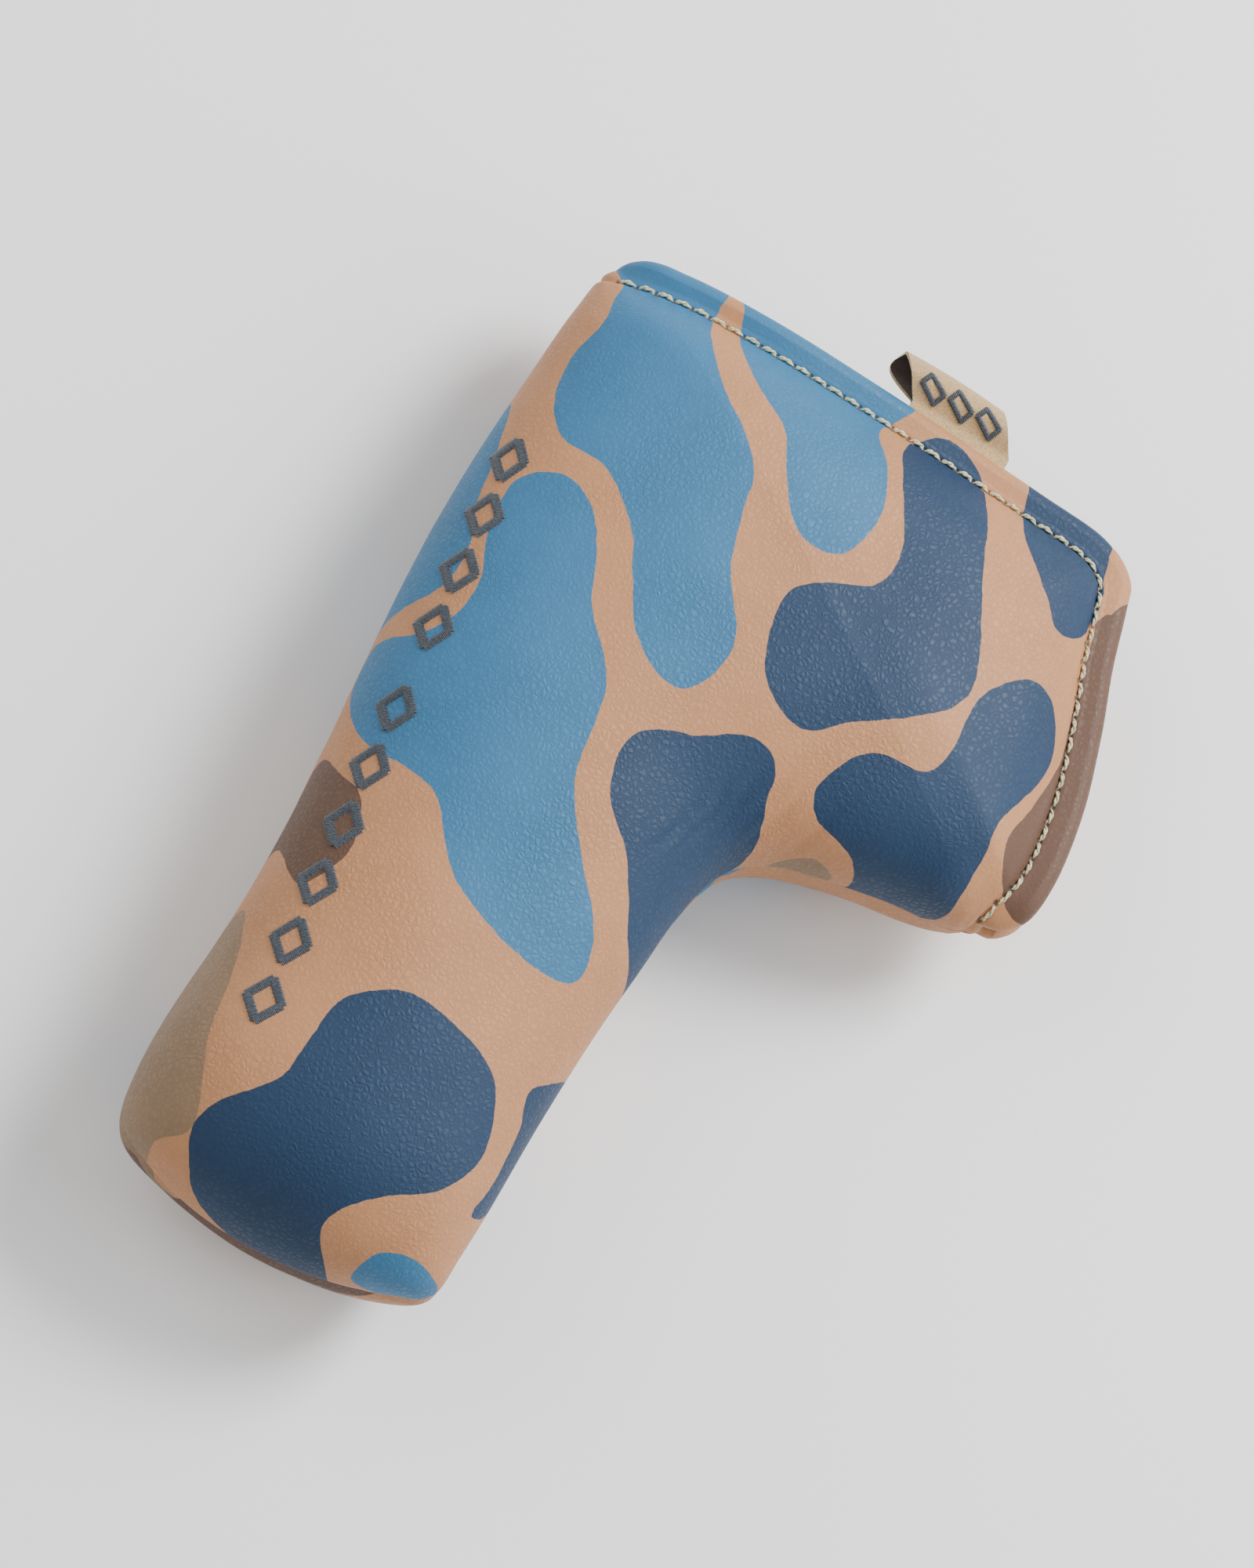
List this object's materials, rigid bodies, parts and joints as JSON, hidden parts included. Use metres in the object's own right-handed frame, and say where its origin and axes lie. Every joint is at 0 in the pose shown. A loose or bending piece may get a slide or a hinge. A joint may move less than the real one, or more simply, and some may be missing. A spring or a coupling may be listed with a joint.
{
  "type": "putter head cover",
  "caption": "Blade putter head cover: an L-shaped padded leather sleeve with a camouflage print, a magnetic flap over the neck and a woven loop tab on its mouth edge.",
  "frame": {"origin": "middle of the cover's box, on the surface it lies on", "axes": "+Z out of the front face, +Y from the toe end to the mouth edge, +X from the sole edge to the neck end"},
  "size_m": [0.115, 0.1831, 0.042],
  "materials": {
    "printed_leather": "pebbled, printed camouflage in tan, light blue, dark blue, brown and olive, soft sheen",
    "foam": "matt open-cell padding",
    "lining": "dark plush",
    "magnet": "nickel plated",
    "stitch_thread": "twisted cream thread",
    "embroidery": "satin-stitched charcoal thread",
    "ribbon": "woven golden tan ribbon, dark inside",
    "ribbon_mark": "woven dark thread"
  },
  "bodies": {
    "root": {"back_leather": "printed_leather", "back_foam": "foam", "back_lining": "lining", "back_hem": "printed_leather", "front_leather": "printed_leather", "front_foam": "foam", "front_lining": "lining", "back_magnet_1": "magnet", "back_magnet_2": "magnet", "back_magnet_3": "magnet", "back_topstitch": "stitch_thread", "sole_motif": "embroidery"},
    "flap": {"flap_leather": "printed_leather", "flap_foam": "foam", "flap_lining": "lining", "flap_hem": "printed_leather", "flap_magnet_1": "magnet", "flap_magnet_2": "magnet", "flap_magnet_3": "magnet", "flap_topstitch": "stitch_thread"},
    "tab": {"tab_loop": "ribbon", "tab_motif": "ribbon_mark"}
  },
  "joints": [
    {"name": "flap_hinge", "type": "hinge", "parent": "root", "child": "flap", "pos_m": [-0.00114, 0.0468, 0.029], "axis": [0.8303, -0.5573, 0], "range_deg": [0, 45], "stiffness_Nm_per_rad": 0.02},
    {"name": "tab_flex", "type": "hinge", "parent": "flap", "child": "tab", "pos_m": [0.00786, 0.08408, 0.0256], "axis": [0.9996, -0.0266, 0], "range_deg": [-35, 35], "stiffness_Nm_per_rad": 0.002}
  ]
}
